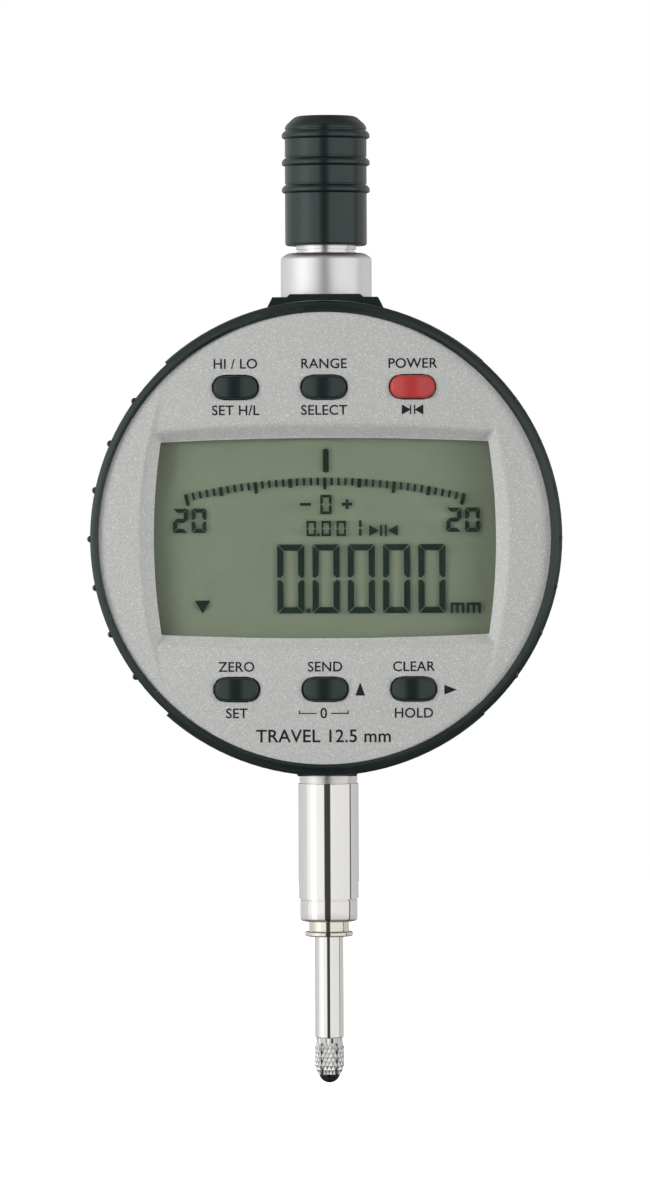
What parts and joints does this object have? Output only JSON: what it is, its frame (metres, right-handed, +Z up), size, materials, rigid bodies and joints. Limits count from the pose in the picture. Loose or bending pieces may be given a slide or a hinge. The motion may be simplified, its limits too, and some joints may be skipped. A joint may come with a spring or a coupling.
{
  "type": "digital indicator",
  "caption": "Digital plunger indicator with a round turning display, push buttons, a clamping stem, a sprung measuring plunger with ball contact, and a ribbed lifting cap.",
  "frame": {"origin": "on the plunger's axis, at the middle of the stem's clamping length", "axes": "+Z up along the plunger towards the lifting cap, -Y towards the reader, +X to the reader's right"},
  "size_m": [0.0626, 0.0271, 0.1292],
  "materials": {
    "case_black": "fine satin black case plastic",
    "cover_black": "satin black rear cover",
    "face_silver": "silver-grey paint with fine sparkle",
    "lens": "clear acrylic",
    "panel_green": "grey-green liquid-crystal glass",
    "reflector": "pale grey-green reflector film",
    "key_black": "dark satin keys",
    "key_red": "red satin key",
    "ground_steel": "ground and polished steel",
    "polished_steel": "polished steel",
    "dark_steel": "dark hard metal ball",
    "collar_metal": "bright satin metal",
    "pale_brass": "polished pale brass",
    "bush_bronze": "bearing bronze",
    "brass": "turned brass",
    "cast_aluminium": "machined aluminium",
    "screw_steel": "blackened steel screws",
    "spring_steel": "spring steel",
    "scale_glass": "graduated glass",
    "board_green": "green printed board",
    "chip_black": "moulded chip",
    "flex_amber": "amber polyimide film",
    "seal_rubber": "black nitrile rubber",
    "mat_rubber": "grey silicone rubber",
    "cell_steel": "nickel-plated cell",
    "contact_gold": "gold-plated spring contact",
    "frame_white": "white moulded frame"
  },
  "bodies": {
    "housing": {"rear_housing": "case_black", "rear_cover": "cover_black", "rear_cover_seal": "seal_rubber", "rear_cover_screws": "screw_steel", "turn_seal": "seal_rubber", "turn_stop_pin": "ground_steel", "friction_washer": "spring_steel", "stem": "polished_steel", "lower_guide_bush": "bush_bronze", "wiper_bush": "pale_brass", "top_collar": "collar_metal", "guide_tube": "ground_steel", "upper_guide_bush": "bush_bronze", "guide_rail": "cast_aluminium", "guide_rail_screws": "screw_steel", "return_spring": "spring_steel", "sensor_board": "board_green", "sensor_board_screws": "screw_steel", "sensor_head": "chip_black", "signal_flex": "flex_amber", "data_socket": "chip_black", "data_port_plug": "seal_rubber", "battery_cup": "case_black", "battery_cell": "cell_steel", "battery_contact_minus": "contact_gold", "battery_contact_plus": "contact_gold"},
    "plunger": {"plunger_rod": "polished_steel", "contact_point": "ground_steel", "contact_ball": "dark_steel", "lifting_cap": "case_black", "cap_insert": "brass", "scale_carrier": "cast_aluminium", "carrier_screw": "screw_steel", "scale_strip": "scale_glass", "anti_rotation_pin": "ground_steel"},
    "display": {"display_ring": "case_black", "display_back": "case_black", "hub_keeper": "spring_steel", "face_plate": "face_silver", "window_lens": "lens", "lcd_panel": "panel_green", "lcd_reflector": "reflector", "lcd_frame": "frame_white", "contact_strips": "mat_rubber", "display_board": "board_green", "display_screws": "screw_steel", "button_mat_top": "mat_rubber", "button_mat_bottom": "mat_rubber"},
    "battery_door": {"battery_cover": "cover_black", "battery_cover_seal": "seal_rubber"},
    "button_top_left_body": {"button_top_left": "key_black"},
    "button_top_middle_body": {"button_top_middle": "key_black"},
    "button_power_body": {"button_power": "key_red"},
    "button_bottom_left_body": {"button_bottom_left": "key_black"},
    "button_bottom_middle_body": {"button_bottom_middle": "key_black"},
    "button_bottom_right_body": {"button_bottom_right": "key_black"}
  },
  "joints": [
    {"name": "plunger_slide", "type": "slide", "parent": "housing", "child": "plunger", "axis": [0, 0, 1], "range_m": [0, 0.0125], "stiffness_N_per_m": 20, "springref_m": -0.0325, "deforming": ["return_spring"]},
    {"name": "display_turn", "type": "hinge", "parent": "housing", "child": "display", "pos_m": [0, 0, 0.04015], "axis": [0, 1, 0], "range_deg": [-140, 140]},
    {"name": "battery_door_turn", "type": "hinge", "parent": "housing", "child": "battery_door", "pos_m": [0.0156, 0, 0.04015], "axis": [0, 1, 0], "range_deg": [0, 90]},
    {"name": "button_top_left_press", "type": "slide", "parent": "display", "child": "button_top_left_body", "axis": [0, 1, 0], "range_m": [0, 0.0005], "stiffness_N_per_m": 800, "springref_m": -0.0005},
    {"name": "button_top_middle_press", "type": "slide", "parent": "display", "child": "button_top_middle_body", "axis": [0, 1, 0], "range_m": [0, 0.0005], "stiffness_N_per_m": 800, "springref_m": -0.0005},
    {"name": "button_power_press", "type": "slide", "parent": "display", "child": "button_power_body", "axis": [0, 1, 0], "range_m": [0, 0.0005], "stiffness_N_per_m": 800, "springref_m": -0.0005},
    {"name": "button_bottom_left_press", "type": "slide", "parent": "display", "child": "button_bottom_left_body", "axis": [0, 1, 0], "range_m": [0, 0.0005], "stiffness_N_per_m": 800, "springref_m": -0.0005},
    {"name": "button_bottom_middle_press", "type": "slide", "parent": "display", "child": "button_bottom_middle_body", "axis": [0, 1, 0], "range_m": [0, 0.0005], "stiffness_N_per_m": 800, "springref_m": -0.0005},
    {"name": "button_bottom_right_press", "type": "slide", "parent": "display", "child": "button_bottom_right_body", "axis": [0, 1, 0], "range_m": [0, 0.0005], "stiffness_N_per_m": 800, "springref_m": -0.0005}
  ]
}
